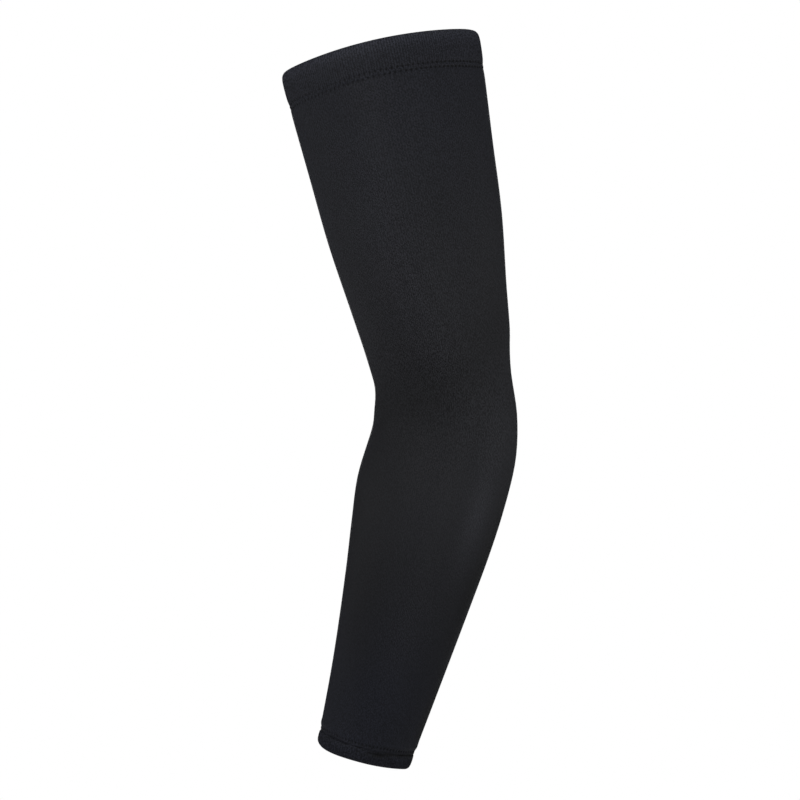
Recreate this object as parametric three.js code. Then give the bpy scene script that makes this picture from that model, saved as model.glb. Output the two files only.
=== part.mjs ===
// Knitted compression arm sleeve, in the form that it has on a slightly bent arm: an open tapered tube of
// cloth with a turned hem sewn to each end. Millimetres, +Z up. The origin is the middle of the upper
// opening, +X points from the crook of the elbow towards the elbow's point, and both sides of the XZ plane
// are alike.
import * as THREE from 'three';
import { LoftGeometry } from 'three/addons/geometries/LoftGeometry.js';

const { clamp, degToRad, lerp, radToDeg } = THREE.MathUtils;

// Middle line of the arm: a straight upper arm, an arc at the elbow and a straight forearm
const SLEEVE_LENGTH = 398; // from rim to rim
const UPPER_LEAN = degToRad(11.5); // off plumb, going down towards the elbow's point
const FOREARM_LEAN = degToRad(14.5); // off plumb, going down towards the crook's side
const ELBOW_AT = 201.5; // from the upper rim to the middle of the bend
const ELBOW_RADIUS = 118; // of the bend

// Cloth and sewing
const CLOTH = 1.2; // one layer of the knit
const UNDERLAP = 1; // the turned-under layer where a stitch line holds it to the tube
const SEWING_GAP = 0.3; // between neighbouring pieces
const UPPER_HEM = { rim: 0, depth: 20, lap: 6.5, roll: 5.5, recess: 0 };
const WRIST_HEM = { rim: SLEEVE_LENGTH, depth: 8.5, lap: 5, roll: 3, recess: 0.5 };

// Facets
const AROUND = 44; // sides of a ring
const TUBE_STEPS = 40; // rings along the tube
const ROLL_STEPS = 6; // facets of a hem's rolled edge

// Girth of the arm. crook, elbow and side are the distances from the middle line to the cloth's outside,
// towards the crook, towards the elbow's point and towards either side.
const GIRTHS = [
  { along: 0, crook: 56, elbow: 55, side: 48 }, // upper rim, high on the biceps
  { along: 20, crook: 55, elbow: 54, side: 47.5 },
  { along: 60, crook: 52, elbow: 51, side: 46 },
  { along: 100, crook: 49, elbow: 48, side: 43.5 },
  { along: 140, crook: 44, elbow: 42.5, side: 40 },
  { along: 164, crook: 41, elbow: 39.5, side: 37.5 },
  { along: 184, crook: 39.5, elbow: 36, side: 36 }, // narrowest, above the elbow's point
  { along: 204, crook: 40.5, elbow: 38.5, side: 35.5 },
  { along: 224, crook: 41, elbow: 40.5, side: 36.5 },
  { along: 249, crook: 42, elbow: 40.5, side: 37 }, // widest of the forearm
  { along: 274, crook: 39, elbow: 39, side: 35 },
  { along: 299, crook: 35.5, elbow: 36.5, side: 32 },
  { along: 349, crook: 30, elbow: 31, side: 27 },
  { along: SLEEVE_LENGTH, crook: 26.5, elbow: 25.5, side: 22.5 }, // wrist rim
];
const PINCH = 0.3; // how far the sides draw in towards the crook and the elbow's point, 0 for an ellipse

// Soft dents and ridges, on both sides alike. around is in degrees from the elbow's point, reach and spread
// say how far a form fades along the arm and around it, and rise is its height, below zero for a dent.
const FORMS = [
  { name: 'crook crease', along: 189, around: 125, reach: 11, spread: 30, rise: -1.8 },
  { name: 'crook dimple', along: 213, around: 165, reach: 8, spread: 16, rise: -0.9 },
  { name: 'biceps ridge', along: 85, around: 108, reach: 55, spread: 15, rise: 1 },
  { name: 'triceps hollow', along: 85, around: 72, reach: 45, spread: 14, rise: -0.9 },
  { name: 'forearm ridge', along: 251, around: 38, reach: 38, spread: 13, rise: 1.4 },
];

// Where the cloth lies off square to the middle line, on both sides alike: a shift down the arm that fades as
// the forms do, below zero for one up the arm.
const SHIFTS = [
  { name: 'upper rim low at crook', along: 0, around: 180, reach: 12, spread: 62, shift: 1.8 },
  { name: 'upper seam bowed up', along: 20, around: 88, reach: 12, spread: 46, shift: -1.7 },
  { name: 'wrist rim high at crook', along: SLEEVE_LENGTH, around: 180, reach: 5, spread: 22, shift: -1.7 },
];

const girths = new THREE.CubicInterpolant(
  GIRTHS.map((row) => row.along),
  GIRTHS.flatMap((row) => [row.crook, row.elbow, row.side]),
  3,
);

// Place and heading of the middle line; the heading is the turn off plumb towards the elbow's point.
function middleLine(along) {
  const bend = UPPER_LEAN + FOREARM_LEAN;
  const bendStart = ELBOW_AT - (ELBOW_RADIUS * bend) / 2;
  const before = Math.min(along, bendStart);
  const heading = UPPER_LEAN - clamp((along - bendStart) / ELBOW_RADIUS, 0, bend);
  const after = Math.max(0, along - bendStart - ELBOW_RADIUS * bend);
  const arcX = ELBOW_RADIUS * (Math.cos(heading) - Math.cos(UPPER_LEAN));
  const arcZ = ELBOW_RADIUS * (Math.sin(heading) - Math.sin(UPPER_LEAN));
  return {
    x: before * Math.sin(UPPER_LEAN) + arcX + after * Math.sin(heading),
    z: -before * Math.cos(UPPER_LEAN) + arcZ - after * Math.cos(heading),
    heading,
  };
}

// Sum of one column of a table at one place of the cloth, each row faded by its distance from there.
function fadedSum(rows, column, along, around) {
  const fade = (distance, width) => Math.exp(-((distance / width) ** 2));
  return rows.reduce((sum, row) => {
    const nearness = fade(along - row.along, row.reach) * fade(around - row.around, row.spread);
    return sum + row[column] * nearness;
  }, 0);
}

// One ring of points round the arm, inset from the cloth's outside.
function ring(along, inset) {
  return Array.from({ length: AROUND }, (_, corner) => {
    const turn = Math.PI * (1 - (2 * corner) / AROUND);
    const around = radToDeg(Math.abs(turn));
    const place = along + fadedSum(SHIFTS, 'shift', along, around);
    const { x, z, heading } = middleLine(place);
    const [crook, elbow, side] = girths.evaluate(place);
    const lift = fadedSum(FORMS, 'rise', along, around) - inset;
    const towardsElbow = ((Math.cos(turn) > 0 ? elbow : crook) + lift) * Math.cos(turn);
    const sideways = (side * (1 - PINCH * Math.cos(turn) ** 2) + lift) * Math.sin(turn);
    return new THREE.Vector3(
      x + towardsElbow * Math.cos(heading),
      sideways,
      z + towardsElbow * Math.sin(heading),
    );
  });
}

// A closed solid from a profile carried round the arm: each profile point is [along, inset], and the profile
// runs down the outside and back up the inside.
function sleevePiece(name, profile, material) {
  const rings = profile.map(([along, inset]) => ring(along, inset));
  const mesh = new THREE.Mesh(new LoftGeometry([...rings, rings[0]]), material);
  mesh.name = name;
  return mesh;
}

// The tube runs from hem to hem, each end square and resting on a hem's underlap.
function tubeProfile() {
  const top = UPPER_HEM.rim + UPPER_HEM.depth + SEWING_GAP / 2;
  const bottom = WRIST_HEM.rim - WRIST_HEM.depth - SEWING_GAP / 2;
  const stations = Array.from({ length: TUBE_STEPS + 1 }, (_, i) => lerp(top, bottom, i / TUBE_STEPS));
  const outside = stations.map((along) => [along, 0]);
  const inside = stations.map((along) => [along, CLOTH]);
  return [...outside, ...inside.reverse()];
}

// A hem folds over at its rim and comes back inside, past the seam, as a thin underlap behind the tube's end.
// inward is 1 for the upper hem and -1 for the wrist hem, whose profile is turned round to face out.
function hemProfile({ rim, depth, lap, roll, recess }, inward) {
  const lapOutside = CLOTH + SEWING_GAP;
  const inside = lapOutside + UNDERLAP;
  const half = (inside - recess) / 2;
  const seam = rim + inward * (depth - SEWING_GAP / 2);
  const lapEnd = rim + inward * (depth + lap);
  const middle = rim + (inward * (roll + depth)) / 2;
  const rolledEdge = Array.from({ length: ROLL_STEPS + 1 }, (_, i) => {
    const turn = (i / ROLL_STEPS) * Math.PI;
    return [rim + inward * roll * (1 - Math.sin(turn)), recess + half * (1 + Math.cos(turn))];
  });
  const profile = [
    ...rolledEdge,
    [middle, recess],
    [seam, recess],
    [seam, lapOutside],
    [lapEnd, lapOutside],
    [lapEnd, inside],
    [seam, inside],
    [middle, inside],
  ];
  return inward > 0 ? profile : profile.reverse();
}

const bodyKnit = new THREE.MeshStandardMaterial({ color: 0x242528, roughness: 0.86, metalness: 0 });
const hemKnit = new THREE.MeshStandardMaterial({ color: 0x27282c, roughness: 0.84, metalness: 0 });

const sleeve = new THREE.Group();
sleeve.add(
  sleevePiece('sleeve_body', tubeProfile(), bodyKnit),
  sleevePiece('upper_hem', hemProfile(UPPER_HEM, 1), hemKnit),
  sleevePiece('wrist_hem', hemProfile(WRIST_HEM, -1), hemKnit),
);

export default sleeve;
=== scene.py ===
import math
from typing import NamedTuple

import bpy
import numpy as np
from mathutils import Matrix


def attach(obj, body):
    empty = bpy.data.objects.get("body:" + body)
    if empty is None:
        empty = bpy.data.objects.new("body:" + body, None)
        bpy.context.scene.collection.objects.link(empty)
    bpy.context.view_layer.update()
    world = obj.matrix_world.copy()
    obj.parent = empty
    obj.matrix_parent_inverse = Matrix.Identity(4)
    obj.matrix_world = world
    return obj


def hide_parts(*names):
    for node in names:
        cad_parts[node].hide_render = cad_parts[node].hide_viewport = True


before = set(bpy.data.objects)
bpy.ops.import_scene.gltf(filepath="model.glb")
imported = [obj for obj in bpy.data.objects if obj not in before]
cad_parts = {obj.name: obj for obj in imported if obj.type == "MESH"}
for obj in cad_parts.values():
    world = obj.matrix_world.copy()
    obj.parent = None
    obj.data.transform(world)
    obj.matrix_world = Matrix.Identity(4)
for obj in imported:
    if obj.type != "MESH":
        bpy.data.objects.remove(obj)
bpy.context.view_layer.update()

# The sleeve's sizes are in millimetres. Along is counted down the arm from the upper rim. Degrees go round
# the arm from the elbow's point to 180 at the crook, on both sides alike, apart from those of PUCKERS and
# CREASE_SHALLOW, which are below zero on the near side.
MM = 0.001


class Spot(NamedTuple):
    """A soft spot of the cloth, which fades along the arm and round it."""
    along: float
    degrees: float
    reach: float  # how far it fades along the arm
    spread: float  # how far it fades round the arm, in degrees
    amount: float  # what it adds in its middle
    lean: float = 0.0  # degrees round for each millimetre along
    slope: float = 0.0  # millimetres along for each degree round


class Band(NamedTuple):
    """A soft band, which fades to both sides of its middle."""
    at: float
    reach: float
    amount: float


class Wave(NamedTuple):
    """A wave of slack cloth."""
    turns: int  # waves round the arm
    length: float  # along the arm, for each radian of the wave
    start: float


class Hem(NamedTuple):
    """A turned hem."""
    depth: float  # from its rim to its seam
    lap: float  # of the underlap, past the seam
    roll: float  # of the rolled edge
    rows: int  # of the mesh, from the rolled edge to the seam


class Seam(NamedTuple):
    """A seam's stitches, how hard they pull on the cloth, the grooves they press and the painted shade and
    light they give it.
    """
    stitches: int  # round the arm
    thread: float  # radius
    plain_pull: float
    pulls: tuple  # bands round the arm where they pull harder
    groove: float  # depth of a row
    groove_width: float
    press: float  # more depth under a stitch
    press_pull: float  # and more for each part of pull
    press_length: float
    # dark is painted shade of a stitch lying in its groove
    dark: float  # how much darker a stitch looks
    dark_pull: float  # and how much more for each part of pull
    dark_length: float
    # light is painted light on the cloth of a row between its stitches
    light: float  # how much lighter the cloth of a row looks
    light_pull: float  # and how much more for each part of pull
    tone_width: float


class StitchRow(NamedTuple):
    """A row of stitches."""
    name: str
    along: float
    shift: float  # in stitches
    seam: Seam


class Softbox(NamedTuple):
    """A rectangle of light that faces the sleeve's middle, in metres and watts."""
    name: str
    place: tuple
    size: tuple
    watts: float


# Middle line of the arm: a straight upper arm, an arc at the elbow and a straight forearm
SLEEVE_LENGTH = 398.0
UPPER_LEAN = math.radians(11.5)
FOREARM_LEAN = math.radians(14.5)
ELBOW_AT = 201.5
ELBOW_RADIUS = 118.0

# Girth of the arm: along, towards the crook, towards the elbow's point, to either side
GIRTHS = np.array([
    (0, 56, 55, 48),
    (20, 55, 54, 47.5),
    (60, 52, 51, 46),
    (100, 49, 48, 43.5),
    (140, 44, 42.5, 40),
    (164, 41, 39.5, 37.5),
    (184, 39.5, 36, 36),
    (204, 40.5, 38.5, 35.5),
    (224, 41, 40.5, 36.5),
    (249, 42, 40.5, 37),
    (274, 39, 39, 35),
    (299, 35.5, 36.5, 32),
    (349, 30, 31, 27),
    (SLEEVE_LENGTH, 26.5, 25.5, 22.5),
])
PINCH = 0.3  # how far the sides draw in towards the crook and the elbow's point

# Cloth and hems
CLOTH = 1.2
UNDERLAP = 1.0
LAP_GAP = 0.3
SEAM_GAP = 0.04
UPPER_HEM = Hem(depth=20.0, lap=6.5, roll=5.5, rows=34)
WRIST_HEM = Hem(depth=8.5, lap=5.0, roll=3.0, rows=22)
HEM_FULLNESS = (Band(9, 10.5, 0.3), Band(SLEEVE_LENGTH - 4, 4.5, 0.15))

# Sewing: two close rows on the upper hem and one on the wrist hem
UPPER_ROWS = (18.7, 21.3)
UPPER_MIDDLE = sum(UPPER_ROWS) / 2
WRIST_ROW = SLEEVE_LENGTH - 10.3
UPPER_SEAM = Seam(
    stitches=105, thread=0.17, plain_pull=0.48, pulls=(Band(25, 52, 1.4), Band(172, 17, 0.75)),
    groove=0.06, groove_width=0.5, press=0.2, press_pull=0.25, press_length=0.8,
    dark=0.6, dark_pull=0.7, dark_length=0.8, light=0.35, light_pull=-0.22, tone_width=0.6,
)
WRIST_SEAM = Seam(
    stitches=75, thread=0.136, plain_pull=0.0, pulls=(Band(35, 25, 1.0),),
    groove=0.05, groove_width=0.5, press=0.4, press_pull=0.0, press_length=0.6,
    dark=1.1, dark_pull=0.5, dark_length=0.55, light=0.2, light_pull=0.0, tone_width=0.55,
)
STITCH_ROWS = (
    StitchRow("upper_stitches_high", UPPER_ROWS[0], 0.0, UPPER_SEAM),
    StitchRow("upper_stitches_low", UPPER_ROWS[1], 0.5, UPPER_SEAM),
    StitchRow("wrist_stitches", WRIST_ROW, 0.0, WRIST_SEAM),
)
SEAM_PULL = (Band(UPPER_MIDDLE, 3.5, -0.2), Band(WRIST_ROW, 1.5, -0.3), Band(WRIST_ROW - 3, 1.8, 0.2))
ROW_SWELL = (Band(UPPER_MIDDLE, 0.7, 0.15),)
# Painted light on the swollen cloth between the upper rows and above the wrist row
SEAM_PAINTED_LIGHT = (Band(UPPER_MIDDLE, 0.7, 0.2), Band(WRIST_ROW - 2, 1.5, 0.1))

# How a stitch lies in its groove
NEEDLE_HOLE = 0.06  # share of its length in the hole at each end
THREAD_SINK = 0.5  # from the cloth down to the groove
THREAD_RISE = 0.6  # from the groove up to the thread's middle, in radii
THREAD_DIP = 0.5  # of the ends, below the groove

# Crease between the wrist hem and the tube. Waves round the arm, as number, start and height, make it
# uneven. It is shallower above the near pucker and deeper towards the elbow's side.
WRIST_CREASE = SLEEVE_LENGTH - WRIST_HEM.depth
CREASE_DEPTH = 0.4
CREASE_WAVES = ((7, 0.2, 0.13), (17, 0.0, 0.08))
CREASE_SHALLOW = (Band(-84, 14, -0.7),)
CREASE_DEEP = (Band(40, 20, 0.25),)
CREASE_WIDTH = 0.6
# Painted shade in the crease, for each millimetre of its depth
CREASE_PAINTED_SHADE = Band(WRIST_CREASE + 0.2, 0.75, -1.0)

# Small puckers of the wrist hem, each on one side, and how much painted shade their hollows hold
PUCKERS = (
    Spot(SLEEVE_LENGTH - 6.4, -75, 1.3, 12, -0.85),
    Spot(SLEEVE_LENGTH - 7.8, -58, 0.8, 9, -0.4),
    Spot(SLEEVE_LENGTH - 2.8, -55, 0.8, 5, -0.5),
    Spot(SLEEVE_LENGTH - 4, -82, 1.5, 7, 0.3),
    Spot(SLEEVE_LENGTH - 6.5, -142, 1.2, 9, -0.2),
    Spot(SLEEVE_LENGTH - 6, 60, 1.2, 8, -0.5),
    Spot(SLEEVE_LENGTH - 5.5, 112, 1.2, 9, -0.5),
)
HOLLOWS = tuple(pucker for pucker in PUCKERS if pucker.amount < 0)
HOLLOW_PAINTED_SHADE = 0.9

# Soft dents and ridges: the lift of the cloth
FORMS = (
    Spot(189, 125, 11, 30, -1.8, slope=0.2),  # crease in the crook
    Spot(213, 165, 8, 16, -0.9),  # dimple in the crook
    Spot(85, 108, 55, 15, 1.0),  # biceps ridge
    Spot(85, 72, 45, 14, -0.9),  # triceps hollow
    Spot(251, 38, 38, 13, 1.4),  # forearm ridge
)

# Where the cloth lies off square to the arm: the shift down the arm
SHIFTS = (
    # Upper rim
    Spot(0, 180, 12, 62, 1.8),
    Spot(0, 180, 8, 14, 0.6),
    Spot(0, 0, 8, 20, 0.8),
    Spot(0, 100, 8, 60, 0.3),
    # Upper seam
    Spot(20, 88, 12, 46, -1.7),
    Spot(20, 150, 10, 26, 0.1),
    Spot(20, 180, 10, 28, 0.9),
    Spot(20, 50, 10, 30, -0.35),
    # Wrist seam
    Spot(389, 115, 4, 22, 0.7),
    Spot(389, 180, 4, 30, -0.6),
    Spot(389.5, 82, 1.5, 12, 0.9),
    Spot(389.5, 52, 1.5, 18, 0.6),
    # Wrist rim
    Spot(SLEEVE_LENGTH, 180, 5, 22, -1.7),
    Spot(SLEEVE_LENGTH, 128, 5, 22, 0.3),
)

# Slack of the cloth: two long waves that cross, and a short one
SLACK_WAVES = (Wave(2, 31, 0.4), Wave(3, -47, 0.0), Wave(5, 19, 0.0))
SHORT_SHARE = 0.5
SLACK_HEIGHT = 0.08

# Faint streaks of drawn cloth: a fan with its tip on the biceps. Its rays are told apart by the degrees
# that each turns for a millimetre from the tip.
FAN_TIP = 70  # along the arm
FAN_DEGREES = 118  # of the tip
FAN_NEAREST = 15  # distance from the tip where the rays start to part
FAN_RAY = -0.3  # in the fan's middle
FAN_SPREAD = 0.3
FAN_STREAKS = Band(130, 32, 1.0)  # where they show along the arm
STREAK_STEP = 0.22  # from streak to streak
STREAK_START = -0.08
STREAK_HEIGHT = 0.06
# Painted light and shade along the streaks, on top of their relief
STREAK_PAINTED_LIGHT = 0.08

# Painted light and shade of the knit: how much lighter it is painted where light falls on the forms, such
# as the rolled upper rim, the forearm's ridge and the crook's edges, and darker where shade falls, such as
# in the crook and on the elbow's side of the forearm
PAINTED_LIGHT_AND_SHADE = (
    # Upper hem
    Spot(0, 90, 6, 200, 1.0),
    Spot(8, 32, 14, 26, 0.2),
    # Upper arm
    Spot(30, 115, 14, 22, -0.12),
    Spot(52, 142, 28, 22, -0.1),
    Spot(90, 75, 25, 12, -0.12),
    Spot(95, 112, 25, 12, 0.1),
    Spot(130, 106, 36, 18, 0.2, lean=-0.25),
    Spot(105, 174, 65, 16, 0.55),
    Spot(145, 155, 25, 16, 0.25),
    Spot(150, 35, 25, 15, -0.14),
    # Elbow
    Spot(165, 118, 22, 12, -0.1, lean=-0.6),
    Spot(168, 50, 16, 32, -0.15),
    Spot(183, 75, 10, 20, -0.1),
    Spot(197, 110, 18, 32, -0.28),
    Spot(211, 152, 9, 12, -0.08),
    Spot(205, 35, 22, 24, 0.2),
    # Forearm
    Spot(232, 170, 24, 14, 0.3),
    Spot(252, 50, 28, 12, 0.8),
    Spot(256, 95, 30, 36, 0.2),
    Spot(240, 118, 20, 18, -0.1),
    Spot(262, 12, 26, 14, -0.6),
    Spot(298, 24, 34, 14, -0.5),
    Spot(300, 172, 60, 10, 0.15),
    Spot(325, 128, 40, 25, -0.24),
    Spot(340, 42, 42, 26, -0.26),
    # Wrist
    Spot(368, 10, 36, 18, -0.85),
    Spot(362, 85, 26, 45, -0.08),
    Spot(380, 52, 12, 42, -0.17),
    Spot(392, 125, 8, 25, 0.15),
    Spot(394, 55, 8, 40, -0.12),
)
DARKEST = 0.1

# Where the cloth looks cooler, along the arm, and how much red it loses and blue it gains there
COOLNESS = (Band(15, 80, 0.55), Band(378, 55, 1.0))
LOST_RED = 0.06
GAINED_BLUE = 0.24

# How clearly single loops show, along the arm, on top of how they show on plain cloth
PLAIN_LOOPS = 0.7
LOOPS = (
    Band(8, 16, 0.25),
    Band(60, 70, 0.4),
    Band(165, 60, 0.5),
    Band(190, 22, 1.5),
    Band(262, 30, -0.2),
    Band(345, 60, 0.1),
    Band(392, 24, 1.1),
)

# Knit: ribs round the arm, half as many in the painted rib shade of the slack wrist hem, and courses along
# it.
# On a hem the ribs stand up and fade out a little way before the seam.
WALES = 210
WRIST_WALES = 105
COURSES = 600
RIB_HEIGHT = 0.14
RIB_END = 1.0
RIB_FADE = 3.0
RIB_MEAN = 2 / math.pi  # of half a sine wave
LOOP_SLANT = 0.5
LOOP_HEIGHT = 0.3
LOOP_LEGS = 2.0
LEG_SHARE = 0.25  # of each neighbour's chance, taken off a leg's own
LEG_MEAN = 0.5 - LEG_SHARE  # of what is left
MIDDLE_SHADE = 0.5

# Sewing thread: strands, and turns of the twist on one stitch
STRANDS = 3
TWISTS = 5.0

# Colours
DARK_LOOP = (0.0061, 0.0063, 0.0074, 1)
LIGHT_LOOP = (0.0189, 0.0194, 0.0229, 1)
SHEEN_TINT = (0.9, 0.93, 1.0, 1)
# Colour of the thread between strands, painted darker as shade in the grooves of the twist
STRAND_GROOVE_PAINTED_SHADE = (0.003, 0.003, 0.0038, 1)
LIGHT_STRAND = (0.006, 0.0061, 0.0075, 1)
FLOOR_GREY = (0.8, 0.8, 0.8, 1)
WHITE = (1, 1, 1, 1)

# Meshes: columns in whole numbers to a stitch and to a rib, and rows, closer by the sewing
BODY_COLUMNS = 6 * UPPER_SEAM.stitches
HEM_COLUMNS = 5 * WALES
UPPER_STOPS = (0, 3.6, 8)  # from the upper seam
WRIST_STOPS = (9, 4.8, 0)  # from the wrist seam
BODY_STEPS = (12, 4, 83, 4, 16)  # rows from stop to stop
INSIDE_ROWS = 26
ROLL_ROWS = 15
LAP_ROWS = 4
BACK_STEPS = 8
THREAD_SIDES = 6
THREAD_STEPS = 9
RING_TURNS = 2001  # of the ring that even shares of the way round are measured on
RING_AT = 100.0  # where that ring is, along the arm

# Studio, in metres. The camera is level with the sleeve's middle and square to its side.
VIEW_X = 0.011
VIEW_Z = -0.1921
VIEW_DISTANCE = 1.3
VIEW_WIDTH = 0.44
SENSOR = 36
SLEEVE_MIDDLE = (0.02, 0.0, -0.17)
LIGHTS = (
    Softbox("key_left", (-0.35, -0.45, 0.05), (0.35, 0.35), 1.65),
    Softbox("key_right", (0.35, -0.45, -0.2), (0.35, 0.35), 1.15),
    Softbox("overhead", (0.35, -0.15, 0.45), (0.35, 0.35), 0.7),
    Softbox("side_left", (-0.7, 0.05, -0.2), (0.3, 0.4), 0.8),
    Softbox("side_right", (0.7, 0.05, -0.15), (0.3, 0.4), 0.85),
    Softbox("front_high", (0.0, -1.6, 0.5), (0.6, 0.6), 3.95),
    Softbox("front_low", (0.0, -1.5, -0.5), (0.6, 0.6), 1.15),
    Softbox("back", (0.0, 1.7, 0.1), (1.2, 1.2), 10),
)
ROOM_LIGHT = 0.01
FLOOR_RADIUS = 4
FLOOR_SIDES = 64
FLOOR_Z = -0.62


def fade(distance, width):
    """Bell curve: 1 at no distance, falling off over the width."""
    return np.exp(-((distance / width) ** 2))


def hump(distance, half_width):
    """Arch: 1 at no distance, falling as a parabola to 0 at the half width and staying there."""
    return np.clip(1 - (distance / half_width) ** 2, 0, None)


def band_sum(bands, place):
    """Sum of bands at a place: each gives its amount, faded by the distance from its middle."""
    return sum(band.amount * fade(place - band.at, band.reach) for band in bands)


def spot_sum(spots, along, degrees):
    """Sum of spots at a place of the cloth: each gives its amount, faded along the arm and round it."""
    total = 0.0
    for spot in spots:
        down = along - spot.along
        aside = degrees - spot.degrees
        nearness = fade(down - spot.slope * aside, spot.reach) * fade(aside - spot.lean * down, spot.spread)
        total = total + spot.amount * nearness
    return total


def girth(along):
    """Smooth curve through the girth table: cubic pieces, with the mean of both sides' slopes at a row."""
    place = GIRTHS[:, 0]
    sizes = GIRTHS[:, 1:]
    secant = np.diff(sizes, axis=0) / np.diff(place)[:, None]
    slope = np.concatenate([secant[:1], (secant[1:] + secant[:-1]) / 2, secant[-1:]])
    row = np.clip(np.searchsorted(place, along, side="right") - 1, 0, len(place) - 2)
    span = (place[row + 1] - place[row])[..., None]
    t = (along - place[row])[..., None] / span
    start = (1 + 2 * t) * (1 - t) ** 2 * sizes[row] + t * (1 - t) ** 2 * span * slope[row]
    end = t ** 2 * (3 - 2 * t) * sizes[row + 1] - t ** 2 * (1 - t) * span * slope[row + 1]
    return np.moveaxis(start + end, -1, 0)


def middle_line(along):
    """Place and heading of the middle line: straight, round the elbow at a steady rate, straight."""
    bend = UPPER_LEAN + FOREARM_LEAN
    bend_start = ELBOW_AT - ELBOW_RADIUS * bend / 2
    before = np.minimum(along, bend_start)
    heading = UPPER_LEAN - np.clip((along - bend_start) / ELBOW_RADIUS, 0, bend)
    after = np.maximum(0, along - bend_start - ELBOW_RADIUS * bend)
    arc_x = ELBOW_RADIUS * (np.cos(heading) - math.cos(UPPER_LEAN))
    arc_z = ELBOW_RADIUS * (np.sin(heading) - math.sin(UPPER_LEAN))
    x = before * math.sin(UPPER_LEAN) + arc_x + after * np.sin(heading)
    z = -before * math.cos(UPPER_LEAN) + arc_z - after * np.cos(heading)
    return x, z, heading


def arm_place(along, turn, lift):
    """Point of the cloth: out from the middle line by girth and lift, at a turn from the elbow's point."""
    x, z, heading = middle_line(along)
    crook, elbow, side = girth(along)
    towards_elbow = (np.where(np.cos(turn) > 0, elbow, crook) + lift) * np.cos(turn)
    sideways = (side * (1 - PINCH * np.cos(turn) ** 2) + lift) * np.sin(turn)
    across = x + towards_elbow * np.cos(heading)
    up = z + towards_elbow * np.sin(heading)
    return np.stack([across, sideways, up], -1) * MM


def way_round():
    """Turns from crook to crook, by the far side and the elbow's point, and each one's share of the way."""
    turns = np.linspace(math.pi, -math.pi, RING_TURNS)
    ring = arm_place(np.full(turns.shape, RING_AT), turns, 0.0)
    steps = np.linalg.norm(np.diff(ring, axis=0), axis=1)
    return turns, np.concatenate([[0.0], np.cumsum(steps)]) / steps.sum()


WAY_TURNS, WAY_SHARES = way_round()


def turn_at(share):
    """Turn from the elbow's point at a share of the way round, so that even shares are evenly far apart."""
    return np.interp(np.mod(share, 1.0), WAY_SHARES, WAY_TURNS)


def degrees_at(share):
    """The same turn in degrees, below zero on the near side."""
    return np.degrees(turn_at(share))


def settled(along, share):
    """Place along the arm of cloth that lies off square: the shifts move it one after the other."""
    degrees = np.abs(degrees_at(share))
    for shift in SHIFTS:
        along = along + spot_sum((shift,), along, degrees)
    return along


def stitch_distance(along, share, row):
    """Distance round the arm to the middle of the nearest stitch of a row."""
    stitches = row.seam.stitches
    part = share * stitches - row.shift - 0.5
    return np.abs(part - np.round(part)) * 2 * math.pi * girth(along).mean(0) / stitches


def seam_pull(seam, degrees):
    """How hard a seam's stitches pull on the cloth: the plain pull and its bands round the arm."""
    return seam.plain_pull + band_sum(seam.pulls, np.abs(degrees))


def crease_depth(share):
    """Depth of the crease at the wrist hem: waves round the arm, times its shallow and deep bands."""
    degrees = degrees_at(share)
    depth = CREASE_DEPTH
    for number, start, height in CREASE_WAVES:
        depth = depth + height * np.sin(2 * math.pi * (number * share + start))
    return depth * (1 + band_sum(CREASE_SHALLOW, degrees) + band_sum(CREASE_DEEP, np.abs(degrees)))


def drawn_streaks(along, degrees):
    """Faint streaks of drawn cloth: a wave across the rays of a fan, faded along the arm and across it."""
    ray = (degrees - FAN_DEGREES) / np.maximum(along - FAN_TIP, FAN_NEAREST)
    wave = np.cos(2 * math.pi * (ray - STREAK_START) / STREAK_STEP)
    return wave * band_sum((FAN_STREAKS,), along) * fade(ray - FAN_RAY, FAN_SPREAD)


def slack(along, turn):
    """Slack of the cloth: the product of two long waves, and a share of a short one."""
    first, second, short = [
        np.sin(wave.turns * turn + along / wave.length + wave.start) for wave in SLACK_WAVES
    ]
    return first * second + SHORT_SHARE * short


def broad_relief(along, share):
    """Lift of both faces of the cloth: full hems, pulling seams, forms, puckers, slack and streaks."""
    turn = turn_at(share)
    degrees = np.degrees(turn)
    lift = sum(band.amount * hump(along - band.at, band.reach) for band in HEM_FULLNESS)
    lift = lift + band_sum(SEAM_PULL, along)
    lift = lift + spot_sum(FORMS, along, np.abs(degrees))
    lift = lift + spot_sum(PUCKERS, along, degrees)
    lift = lift + SLACK_HEIGHT * slack(along, turn)
    return lift + STREAK_HEIGHT * drawn_streaks(along, np.abs(degrees))


def fine_relief(along, share):
    """Lift of the outer face alone: rows and stitches press grooves, and cloth between two rows swells."""
    degrees = degrees_at(share)
    lift = band_sum(ROW_SWELL, along)
    for row in STITCH_ROWS:
        seam = row.seam
        press = seam.press + seam.press_pull * seam_pull(seam, degrees)
        groove = seam.groove + press * fade(stitch_distance(along, share, row), seam.press_length)
        lift = lift - groove * fade(along - row.along, seam.groove_width)
    return lift - crease_depth(share) * fade(along - WRIST_CREASE, CREASE_WIDTH)


def rib_relief(along, share):
    """Lift of the knitted ribs of the hems: a wave round the arm that dies out towards the sewing."""
    from_rim = np.minimum(along, SLEEVE_LENGTH - along)
    depth = np.where(along < SLEEVE_LENGTH / 2, UPPER_HEM.depth, WRIST_HEM.depth)
    standing = np.clip((depth - from_rim - RIB_END) / RIB_FADE, 0, 1)
    return RIB_HEIGHT * np.cos(2 * math.pi * WALES * share) * standing


def knit_painted_light_and_shade(along, share):
    """Painted light and shade of the knit: 1, and the table's painted spots and the streaks' painted light.
    """
    degrees = np.abs(degrees_at(share))
    return 1 + spot_sum(PAINTED_LIGHT_AND_SHADE, along, degrees) + STREAK_PAINTED_LIGHT * drawn_streaks(along, degrees)


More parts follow.
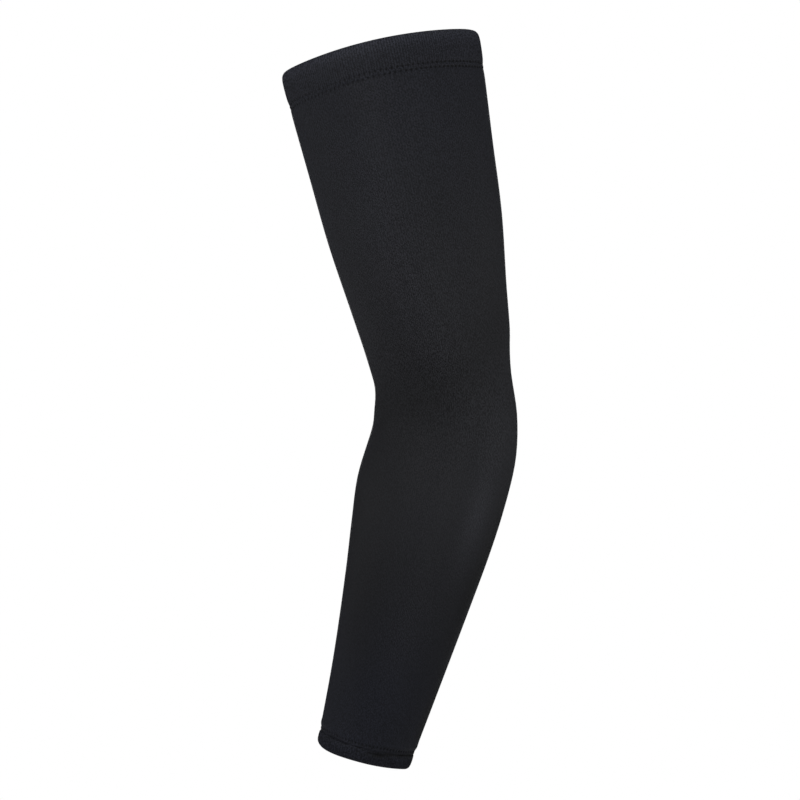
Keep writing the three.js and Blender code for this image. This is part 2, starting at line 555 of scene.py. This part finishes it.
def sewing_painted_light_and_shade(along, share):
    """Painted light and shade of the sewing: stitches, hollows and crease hold painted shade, swollen cloth
    painted light.
    """
    degrees = degrees_at(share)
    tone = band_sum(SEAM_PAINTED_LIGHT, along)
    for row in STITCH_ROWS:
        seam = row.seam
        pull = seam_pull(seam, degrees)
        stitch = fade(stitch_distance(along, share, row), seam.dark_length)
        lighter = seam.light + seam.light_pull * pull - (seam.dark + seam.dark_pull * pull) * stitch
        tone = tone + lighter * fade(along - row.along, seam.tone_width)
    tone = tone + HOLLOW_PAINTED_SHADE * spot_sum(HOLLOWS, along, degrees)
    return tone + crease_depth(share) * band_sum((CREASE_PAINTED_SHADE,), along)


def cloth_tint_with_painted_light(along, share, outer):
    """Tint of the cloth: red, green and blue of its tone of painted light and shade, cooler in cool bands,
    and how clear loops are.
    """
    tone = np.clip(knit_painted_light_and_shade(along, share) + outer * sewing_painted_light_and_shade(along, share), DARKEST, None)
    cool = band_sum(COOLNESS, along)
    loops = PLAIN_LOOPS + band_sum(LOOPS, along)
    return np.stack([tone * (1 - LOST_RED * cool), tone, tone * (1 + GAINED_BLUE * cool), loops], -1)


def add_object(name, data):
    """Adds an object to the scene, at the origin."""
    made = bpy.data.objects.new(name, data)
    bpy.context.scene.collection.objects.link(made)
    return made


def grid_faces(count, rows, columns, joined):
    """Corners of faces on grids of points: columns join round, and rows join round or end in flat caps."""
    index = np.arange(count * rows * columns).reshape(count, rows, columns)
    right = np.roll(index, -1, 2)
    quads = np.stack([index, right, np.roll(right, -1, 1), np.roll(index, -1, 1)], -1)
    if joined:
        return quads, np.zeros((0, columns), int)
    return quads[:, :-1], np.concatenate([index[:, 0, ::-1], index[:, -1]])


def grid_uv(quads, along):
    """Places of the quads' corners on the cloth: shares of the way round and of the sleeve's length."""
    rows, columns = quads.shape[1:3]
    across = (np.arange(columns)[:, None] + np.array([0, 1, 1, 0])) / columns
    down = np.append(along, along[0])[np.arange(rows)[:, None] + np.array([0, 0, 1, 1])] / SLEEVE_LENGTH
    across = np.broadcast_to(across, quads.shape)
    down = np.broadcast_to(down[:, None], quads.shape)
    return np.stack([across.reshape(-1), down.reshape(-1)], -1)


def grid_piece(name, points, along, joined):
    """Piece from grids of points, each of rows by columns, with smooth faces and the cloth's own UV map."""
    quads, caps = grid_faces(*points.shape[:3], joined)
    corners = np.concatenate([quads.reshape(-1), caps.reshape(-1)])
    sides = np.repeat([4, caps.shape[1]], [quads.size // 4, len(caps)])
    uv = np.zeros((corners.size, 2), np.float32)
    uv[:quads.size] = grid_uv(quads, along)
    mesh = bpy.data.meshes.new(name)
    mesh.vertices.add(points.size // 3)
    mesh.vertices.foreach_set("co", points.reshape(-1).astype(np.float32))
    mesh.loops.add(corners.size)
    mesh.loops.foreach_set("vertex_index", corners.astype(np.int32))
    mesh.polygons.add(sides.size)
    mesh.polygons.foreach_set("loop_start", (np.cumsum(sides) - sides).astype(np.int32))
    mesh.polygons.foreach_set("use_smooth", np.ones(sides.size, dtype=bool))
    mesh.uv_layers.new(name="cloth").data.foreach_set("uv", uv.reshape(-1))
    mesh.update(calc_edges=True)
    mesh.validate()
    return add_object(name, mesh)


def even_rows(stops, steps):
    """Places of a mesh's rows: even steps from each stop to the next, and the last stop."""
    parts = [np.linspace(stops[i], stops[i + 1], count, endpoint=False) for i, count in enumerate(steps)]
    return np.concatenate([*parts, stops[-1:]])


def body_profile():
    """Profile of the tube, as places along the arm and insets: down the outside, and back up the inside."""
    top = UPPER_HEM.depth + SEAM_GAP / 2
    bottom = WRIST_CREASE - SEAM_GAP / 2
    stops = [top + stop for stop in UPPER_STOPS] + [bottom - stop for stop in WRIST_STOPS]
    outside = even_rows(stops, BODY_STEPS)
    inside = np.linspace(bottom, top, INSIDE_ROWS)
    return np.concatenate([outside, inside]), np.repeat([0.0, CLOTH], [len(outside), len(inside)])


def hem_profile(hem):
    """Profile of a hem, as distances from its rim and insets.

    It goes over the rolled edge, whose section is half an ellipse, down the outside to the seam, behind the
    tube's end as an underlap, and back on the inside.
    """
    lap_outside = CLOTH + LAP_GAP
    inside = lap_outside + UNDERLAP
    seam = hem.depth - SEAM_GAP / 2
    lap_end = hem.depth + hem.lap
    turn = np.linspace(0, math.pi, ROLL_ROWS)
    outside = np.linspace(hem.roll, seam, hem.rows)[1:]
    underlap = np.linspace(seam, lap_end, LAP_ROWS)
    back = np.linspace(lap_end, hem.roll, BACK_STEPS, endpoint=False)
    along = np.concatenate([hem.roll * (1 - np.sin(turn)), outside, underlap, back])
    edge_inset = inside / 2 * (1 + np.cos(turn))
    flat_inset = np.repeat([0.0, lap_outside, inside], [len(outside), len(underlap), len(back)])
    return along, np.concatenate([edge_inset, flat_inset])


def cloth_piece(name, along, inset, columns):
    """Cloth wall: a profile of places and insets carried round the arm, with its relief and its tint of
    painted light and shade.
    """
    place, share = np.meshgrid(along, np.arange(columns) / columns, indexing="ij")
    outer = (inset < CLOTH / 2)[:, None]
    fine = fine_relief(place, share) + rib_relief(place, share)
    lift = broad_relief(place, share) + outer * fine - inset[:, None]
    points = arm_place(settled(place, share), turn_at(share), lift)
    piece = grid_piece(name, points[None], along, joined=True)
    painted_light_tint = piece.data.attributes.new("cloth_tint_with_painted_light", "FLOAT_COLOR", "POINT")
    painted_light_tint.data.foreach_set("color", cloth_tint_with_painted_light(place, share, outer).reshape(-1).astype(np.float32))
    return piece


def unit(vectors):
    """The same directions with a length of 1."""
    return vectors / np.linalg.norm(vectors, axis=-1, keepdims=True)


def thread_piece(name, along, share, lift, radius):
    """Threads on the cloth: circles of a few points carried along paths, each square to its path."""
    turn = turn_at(share)
    place = settled(along, share)
    lift = lift + broad_relief(along, share)
    centre = arm_place(place, turn, lift)
    ahead = np.gradient(centre, axis=1)
    sideways = unit(np.cross(ahead, arm_place(place, turn, lift + 1) - centre))
    outward = unit(np.cross(sideways, ahead))
    angle = np.arange(THREAD_SIDES)[:, None] / THREAD_SIDES * 2 * math.pi
    circle = np.cos(angle) * outward[:, :, None] + np.sin(angle) * sideways[:, :, None]
    points = centre[:, :, None] + radius * MM * circle
    return grid_piece(name, points, np.linspace(0, SLEEVE_LENGTH, THREAD_STEPS), joined=False)


def stitches_piece(row):
    """A row of stitches: each rises out of a needle hole, lies in its groove and dips into the next one."""
    seam = row.seam
    part = np.linspace(NEEDLE_HOLE, 1 - NEEDLE_HOLE, THREAD_STEPS)
    share = (np.arange(seam.stitches)[:, None] + part + row.shift) / seam.stitches
    lift = THREAD_RISE * seam.thread - THREAD_SINK - THREAD_DIP * np.abs(2 * part - 1) ** 3
    return thread_piece(row.name, np.full(share.shape, row.along), share, lift, seam.thread)


def set_inputs(node, values):
    """Sets the inputs of a node by their names."""
    for name, value in values.items():
        node.inputs[name].default_value = value


def add_math(tree, operation, first, second=None):
    """Adds one sum to a node tree and returns its result; each term is a socket or a number."""
    node = tree.nodes.new("ShaderNodeMath")
    node.operation = operation
    for socket, term in zip(node.inputs, (first, second)):
        if isinstance(term, (int, float)):
            socket.default_value = term
        elif term is not None:
            tree.links.new(term, socket)
    return node.outputs[0]


def add_chance(tree, across, down):
    """Adds a value from 0 to 1 that chance sets for each whole place across and down."""
    place = tree.nodes.new("ShaderNodeCombineXYZ")
    tree.links.new(across, place.inputs["X"])
    tree.links.new(down, place.inputs["Y"])
    chance = tree.nodes.new("ShaderNodeTexWhiteNoise")
    chance.noise_dimensions = "2D"
    tree.links.new(place.outputs[0], chance.inputs["Vector"])
    return chance.outputs["Value"]


def add_split(tree, place):
    """Adds the parts of a place across and down."""
    parts = tree.nodes.new("ShaderNodeSeparateXYZ")
    tree.links.new(place, parts.inputs[0])
    return parts.outputs["X"], parts.outputs["Y"]


def add_blend(tree, factor, dark, light):
    """Adds a colour between a dark and a light one."""
    blend = tree.nodes.new("ShaderNodeMix")
    blend.data_type = "RGBA"
    set_inputs(blend, {"A": dark, "B": light})
    tree.links.new(factor, blend.inputs["Factor"])
    return blend.outputs["Result"]


def add_bump(tree, shader, height, strength, distance):
    """Adds a bump to the shader's surface, with its distance in millimetres."""
    bump = tree.nodes.new("ShaderNodeBump")
    set_inputs(bump, {"Strength": strength, "Distance": distance * MM})
    tree.links.new(height, bump.inputs["Height"])
    tree.links.new(bump.outputs["Normal"], shader.inputs["Normal"])


def add_material(name):
    """Adds a material and returns it with its node tree, its shader and the place on the cloth."""
    material = bpy.data.materials.new(name)
    material.use_nodes = True
    tree = material.node_tree
    place = tree.nodes.new("ShaderNodeUVMap")
    place.uv_map = "cloth"
    return material, tree, tree.nodes["Principled BSDF"], place.outputs["UV"]


def loop_chance(tree, wale, slanted):
    """Shade of single loops, about 0: each leg's own chance, less a share of those beside and below it."""
    leg = add_math(tree, "FLOOR", add_math(tree, "MULTIPLY", wale, LOOP_LEGS))
    course = add_math(tree, "FLOOR", slanted)
    own = add_chance(tree, leg, course)
    beside = add_chance(tree, add_math(tree, "ADD", leg, 1.0), course)
    below = add_chance(tree, leg, add_math(tree, "ADD", course, 1.0))
    near = add_math(tree, "MULTIPLY", add_math(tree, "ADD", beside, below), LEG_SHARE)
    return add_math(tree, "SUBTRACT", add_math(tree, "SUBTRACT", own, LEG_MEAN), near)


def knit_group():
    """Node group of a plain knit: ribs of slanted loops, as a height and as a shade.

    A rib is half a sine wave across, and its loops are a sine wave down it that the rib slants. The shade
    is half way on average, painted lighter on a rib and darker beside it as the rib's light and shade, and
    uneven from loop to loop. Contrast says how clearly all of it shows.
    """
    tree = bpy.data.node_groups.new("knit_relief", "ShaderNodeTree")
    tree.interface.new_socket("Place", in_out="INPUT", socket_type="NodeSocketVector")
    for name in ("Wales", "Courses", "PaintedRibShade", "Speckle", "Contrast"):
        tree.interface.new_socket(name, in_out="INPUT", socket_type="NodeSocketFloat")
    for name in ("Height", "Shade"):
        tree.interface.new_socket(name, in_out="OUTPUT", socket_type="NodeSocketFloat")
    given = tree.nodes.new("NodeGroupInput")
    result = tree.nodes.new("NodeGroupOutput")
    contrast = given.outputs["Contrast"]

    across, down = add_split(tree, given.outputs["Place"])
    wale = add_math(tree, "MULTIPLY", across, given.outputs["Wales"])
    course = add_math(tree, "MULTIPLY", down, given.outputs["Courses"])
    part = add_math(tree, "FRACT", wale)
    rib = add_math(tree, "SINE", add_math(tree, "MULTIPLY", part, math.pi))
    slanted = add_math(tree, "ADD", course, add_math(tree, "MULTIPLY", rib, LOOP_SLANT))

    loop = add_math(tree, "SINE", add_math(tree, "MULTIPLY", slanted, 2 * math.pi))
    looped = add_math(tree, "ADD", 1.0, add_math(tree, "MULTIPLY", loop, LOOP_HEIGHT))
    raised = add_math(tree, "MULTIPLY", rib, looped)
    tree.links.new(add_math(tree, "MULTIPLY", raised, contrast), result.inputs["Height"])

    # Painted light on each rib and painted shade beside it
    off_mean = add_math(tree, "SUBTRACT", rib, RIB_MEAN)
    painted_rib_shade = add_math(tree, "MULTIPLY", given.outputs["PaintedRibShade"], off_mean)
    speckle = add_math(tree, "MULTIPLY", given.outputs["Speckle"], loop_chance(tree, wale, slanted))
    uneven = add_math(tree, "MULTIPLY", contrast, add_math(tree, "ADD", speckle, painted_rib_shade))
    tree.links.new(add_math(tree, "ADD", uneven, MIDDLE_SHADE), result.inputs["Shade"])
    return tree


def knit_material(name, relief, wales, rib, speckle):
    """Black stretch knit: the knit group's loops and painted rib shade vary its colour and raise it, with a
    soft sheen.
    """
    material, tree, shader, place = add_material(name)
    painted_light_tint = tree.nodes.new("ShaderNodeAttribute")
    painted_light_tint.attribute_name = "cloth_tint_with_painted_light"
    knit = tree.nodes.new("ShaderNodeGroup")
    knit.node_tree = relief
    set_inputs(knit, {"Wales": wales, "Courses": COURSES, "PaintedRibShade": rib, "Speckle": speckle})
    tree.links.new(place, knit.inputs["Place"])
    tree.links.new(painted_light_tint.outputs["Alpha"], knit.inputs["Contrast"])
    # The tint attribute multiplies the knit's colour by its painted light and shade
    tinted = tree.nodes.new("ShaderNodeVectorMath")
    tinted.operation = "MULTIPLY"
    tree.links.new(add_blend(tree, knit.outputs["Shade"], DARK_LOOP, LIGHT_LOOP), tinted.inputs[0])
    tree.links.new(painted_light_tint.outputs["Color"], tinted.inputs[1])
    tree.links.new(tinted.outputs[0], shader.inputs["Base Color"])
    add_bump(tree, shader, knit.outputs["Height"], strength=0.5, distance=0.1)
    set_inputs(shader, {"Roughness": 0.6, "Specular IOR Level": 0.12})
    set_inputs(shader, {"Sheen Weight": 0.03, "Sheen Roughness": 0.5, "Sheen Tint": SHEEN_TINT})
    return material


def thread_material(name):
    """Twisted black sewing thread, a little shinier than the knit: strands wind round it as a helix."""
    material, tree, shader, place = add_material(name)
    across, down = add_split(tree, place)
    wound = add_math(tree, "ADD", add_math(tree, "MULTIPLY", down, TWISTS), across)
    wave = add_math(tree, "SINE", add_math(tree, "MULTIPLY", wound, STRANDS * math.pi))
    strand = add_math(tree, "ABSOLUTE", wave)
    # The colour is painted darker between strands, as shade in the grooves of the twist
    tree.links.new(add_blend(tree, strand, STRAND_GROOVE_PAINTED_SHADE, LIGHT_STRAND), shader.inputs["Base Color"])
    add_bump(tree, shader, strand, strength=0.6, distance=0.05)
    set_inputs(shader, {"Roughness": 0.6, "Specular IOR Level": 0.15})
    return material


def photo_camera():
    """Camera as far off as the photograph's, with the lens that takes in its width."""
    data = bpy.data.cameras.new("camera")
    data.sensor_width = SENSOR
    data.lens = SENSOR * VIEW_DISTANCE / VIEW_WIDTH
    camera = add_object("camera", data)
    camera.location = (VIEW_X, -VIEW_DISTANCE, VIEW_Z)
    camera.rotation_euler = (math.pi / 2, 0, 0)
    bpy.context.scene.camera = camera


def add_softbox(softbox):
    """A softbox at its place, turned to face the sleeve's middle."""
    data = bpy.data.lights.new(softbox.name, "AREA")
    data.shape = "RECTANGLE"
    data.size, data.size_y = softbox.size
    data.energy = softbox.watts
    light = add_object(softbox.name, data)
    light.location = softbox.place
    light.visible_camera = False
    x, y, z = np.subtract(SLEEVE_MIDDLE, softbox.place)
    light.rotation_euler = (math.atan2(math.hypot(x, y), -z), 0, math.atan2(y, x) - math.pi / 2)


def white_where_seen(tree, output, lit):
    """Shows plain white to the camera and the given shader to all other rays."""
    white = tree.nodes.new("ShaderNodeEmission")
    path = tree.nodes.new("ShaderNodeLightPath")
    choose = tree.nodes.new("ShaderNodeMixShader")
    set_inputs(white, {"Color": WHITE, "Strength": 1.0})
    tree.links.new(path.outputs["Is Camera Ray"], choose.inputs["Fac"])
    tree.links.new(lit, choose.inputs[1])
    tree.links.new(white.outputs[0], choose.inputs[2])
    tree.links.new(choose.outputs[0], output.inputs["Surface"])


def studio_world():
    """A white studio that throws only a dim light of its own."""
    world = bpy.data.worlds.new("studio")
    bpy.context.scene.world = world
    world.use_nodes = True
    tree = world.node_tree
    tree.nodes.clear()
    dim = tree.nodes.new("ShaderNodeBackground")
    set_inputs(dim, {"Color": WHITE, "Strength": ROOM_LIGHT})
    white_where_seen(tree, tree.nodes.new("ShaderNodeOutputWorld"), dim.outputs[0])


def studio_floor():
    """A pale round floor well under the sleeve, white to the camera like the studio round it."""
    angle = np.arange(FLOOR_SIDES) / FLOOR_SIDES * 2 * math.pi
    height = np.full(FLOOR_SIDES, FLOOR_Z)
    ring = np.stack([FLOOR_RADIUS * np.cos(angle), FLOOR_RADIUS * np.sin(angle), height], -1)
    mesh = bpy.data.meshes.new("studio_floor")
    mesh.from_pydata(ring.tolist(), [], [list(range(FLOOR_SIDES))])
    floor = add_object("studio_floor", mesh)
    material = bpy.data.materials.new("floor_white")
    material.use_nodes = True
    tree = material.node_tree
    shader = tree.nodes["Principled BSDF"]
    set_inputs(shader, {"Base Color": FLOOR_GREY})
    white_where_seen(tree, tree.nodes["Material Output"], shader.outputs[0])
    mesh.materials.append(material)


# Pieces; the wrist hem's profile is mirrored along the arm, and turned round so that it still faces out
body = cloth_piece("sleeve_body_knit", *body_profile(), BODY_COLUMNS)
upper_hem = cloth_piece("upper_hem_knit", *hem_profile(UPPER_HEM), HEM_COLUMNS)
from_wrist_rim, wrist_inset = hem_profile(WRIST_HEM)
wrist_along = SLEEVE_LENGTH - from_wrist_rim
wrist_hem = cloth_piece("wrist_hem_knit", wrist_along[::-1], wrist_inset[::-1], HEM_COLUMNS)
threads = [stitches_piece(row) for row in STITCH_ROWS]

# Finishes
knit_relief = knit_group()
# rib sets how strongly light and shade are painted on and beside each rib
body_knit = knit_material("body_knit_black", knit_relief, WALES, rib=0.3, speckle=0.85)
upper_knit = knit_material("upper_knit_black", knit_relief, WALES, rib=0.95, speckle=1.2)
wrist_knit = knit_material("wrist_knit_black", knit_relief, WRIST_WALES, rib=0.5, speckle=1.6)
thread_black = thread_material("thread_black")

for piece, node, slot, finish in (
    (body, "sleeve_body", "body_knit", body_knit),
    (upper_hem, "upper_hem", "hem_knit", upper_knit),
    (wrist_hem, "wrist_hem", "hem_knit", wrist_knit),
):
    piece.data.materials.append(finish)
    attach(piece, "root")
    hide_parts(node)

for piece in threads:
    piece.data.materials.append(thread_black)
    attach(piece, "root")

# Studio
photo_camera()
for softbox in LIGHTS:
    add_softbox(softbox)
studio_world()
studio_floor()
bpy.context.scene.view_settings.view_transform = "Standard"
